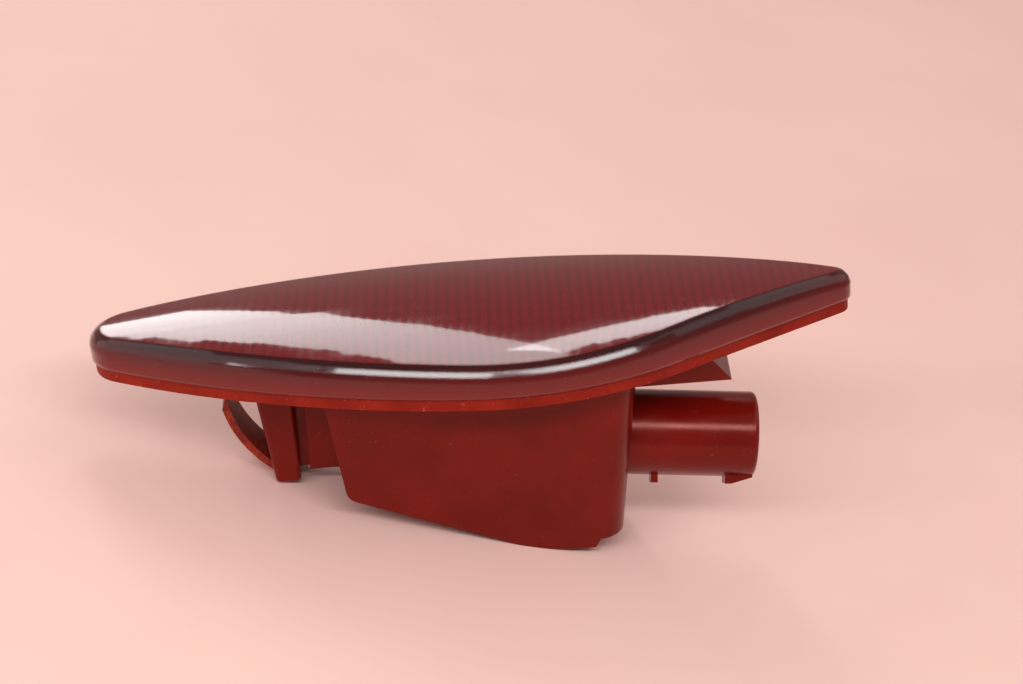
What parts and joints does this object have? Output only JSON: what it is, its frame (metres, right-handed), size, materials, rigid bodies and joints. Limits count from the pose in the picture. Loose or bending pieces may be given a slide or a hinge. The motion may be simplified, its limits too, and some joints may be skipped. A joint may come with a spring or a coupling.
{
  "type": "front indicator lamp",
  "caption": "Leaf-shaped flush front indicator lamp with a crowned smoked lens, seal, deep moulded housing, round plug socket, hook tongue and spring clip.",
  "frame": {"origin": "on the panel plane, which is the underside of the seal, midway between the two tips of the lens", "axes": "+X along the lens to the plug socket end, +Z out of the lens away from the panel, -Y to the more bowed edge of the lens"},
  "size_m": [0.1212, 0.0372, 0.0417],
  "materials": {
    "smoked_lens": "polished smoked clear plastic, fluted inside",
    "black_moulding": "dark moulded plastic with a fine satin grain",
    "seal_rubber": "matte soft rubber",
    "spring_steel": "spring steel with a mottled brown surface",
    "mirror_coat": "vacuum metallised plastic",
    "board": "solder resist on glass laminate",
    "emitter": "moulded emitter with a clear amber dome",
    "contact_metal": "tinned brass",
    "chip_body": "ceramic and moulded chip parts with tinned ends"
  },
  "bodies": {
    "root": {"outer_lens": "smoked_lens", "panel_seal": "seal_rubber", "housing": "black_moulding", "retaining_spring": "spring_steel", "reflector": "mirror_coat", "light_board": "board", "light_emitter_1": "emitter", "light_emitter_2": "emitter", "light_emitter_3": "emitter", "light_emitter_4": "emitter", "contact_tab_near": "contact_metal", "contact_tab_far": "contact_metal", "resistor_1": "chip_body", "resistor_2": "chip_body", "capacitor": "chip_body", "diode": "chip_body"}
  },
  "joints": []
}
